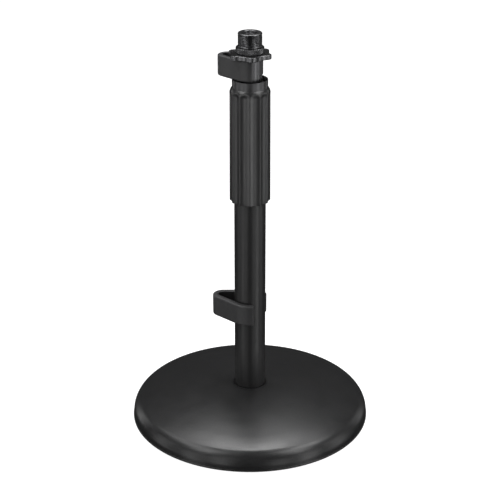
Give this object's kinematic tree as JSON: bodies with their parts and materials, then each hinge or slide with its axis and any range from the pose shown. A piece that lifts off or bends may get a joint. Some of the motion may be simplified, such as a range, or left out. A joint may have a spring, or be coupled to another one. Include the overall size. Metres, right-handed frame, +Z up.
{
  "type": "desktop microphone stand",
  "caption": "Desktop microphone stand with a domed round base, a telescoping tube with a twist-lock grip, spring cable clips and a threaded top adapter.",
  "frame": {"origin": "on the table under the centre of the tube, at the lowest face of the foot ring", "axes": "+Z up along the tube and the microphone thread; -Y is the front, +X is to the right seen from the front"},
  "size_m": [0.1656, 0.1656, 0.2763],
  "materials": {
    "base_coat": "satin black powder coat, fine texture",
    "foot_rubber": "matte moulded rubber",
    "zinc_steel": "zinc plated",
    "tube_coat": "satin black powder coat",
    "mast_coat": "satin black plating",
    "black_plastic": "matte moulded",
    "nylon": "natural nylon",
    "collar_metal": "satin black anodised",
    "grip_rubber": "satin moulded rubber",
    "black_oxide": "black oxide"
  },
  "bodies": {
    "root": {"base_casting": "base_coat", "foot_ring": "foot_rubber", "base_bolt": "zinc_steel", "spring_washer": "zinc_steel", "flat_washer": "zinc_steel", "tube_anchor_plug": "zinc_steel", "outer_tube": "tube_coat", "clutch_body": "nylon", "collet": "nylon"},
    "mast_slider": {"mast_glide_bushing": "nylon"},
    "mast": {"inner_tube": "mast_coat", "mast_retaining_rings": "zinc_steel", "top_stud_plug": "zinc_steel", "stud_cross_pin": "zinc_steel"},
    "thrust_ring": {"thrust_washer": "zinc_steel"},
    "clutch": {"clutch_nut": "collar_metal", "grip_sleeve": "grip_rubber", "glide_ring": "black_plastic"},
    "lower_clip": {"lower_cable_clip": "black_plastic"},
    "upper_clip": {"upper_cable_clip": "black_plastic"},
    "jam_nut": {"jam_nut": "black_oxide"},
    "adapter": {"thread_adapter": "black_oxide"}
  },
  "joints": [
    {"name": "height_slide", "type": "slide", "parent": "root", "child": "mast_slider", "axis": [0, 0, 1], "range_m": [0, 0.11]},
    {"name": "mast_swivel", "type": "hinge", "parent": "mast_slider", "child": "mast", "pos_m": [0, 0, 0.15], "axis": [0, 0, 1], "continuous": true},
    {"name": "clutch_advance", "type": "slide", "parent": "root", "child": "thrust_ring", "axis": [0, 0, 1], "range_m": [0, 0.00051]},
    {"name": "clutch_turn", "type": "hinge", "parent": "thrust_ring", "child": "clutch", "pos_m": [0, 0, 0.2], "axis": [0, 0, 1], "range_deg": [0, 120]},
    {"name": "lower_clip_slide", "type": "slide", "parent": "root", "child": "lower_clip", "axis": [0, 0, 1], "range_m": [-0.045, 0.065]},
    {"name": "upper_clip_turn", "type": "hinge", "parent": "mast", "child": "upper_clip", "pos_m": [0, 0, 0.253], "axis": [0, 0, 1], "continuous": true},
    {"name": "jam_nut_turn", "type": "hinge", "parent": "mast", "child": "jam_nut", "pos_m": [0, 0, 0.2615], "axis": [0, 0, 1], "range_deg": [0, 90]},
    {"name": "adapter_turn", "type": "hinge", "parent": "mast", "child": "adapter", "pos_m": [0, 0, 0.27], "axis": [0, 0, 1], "range_deg": [0, 180]}
  ],
  "couplings": [
    {"joint": "clutch_advance", "follows": "clutch_turn", "m_per_rad": 0.00023873}
  ]
}
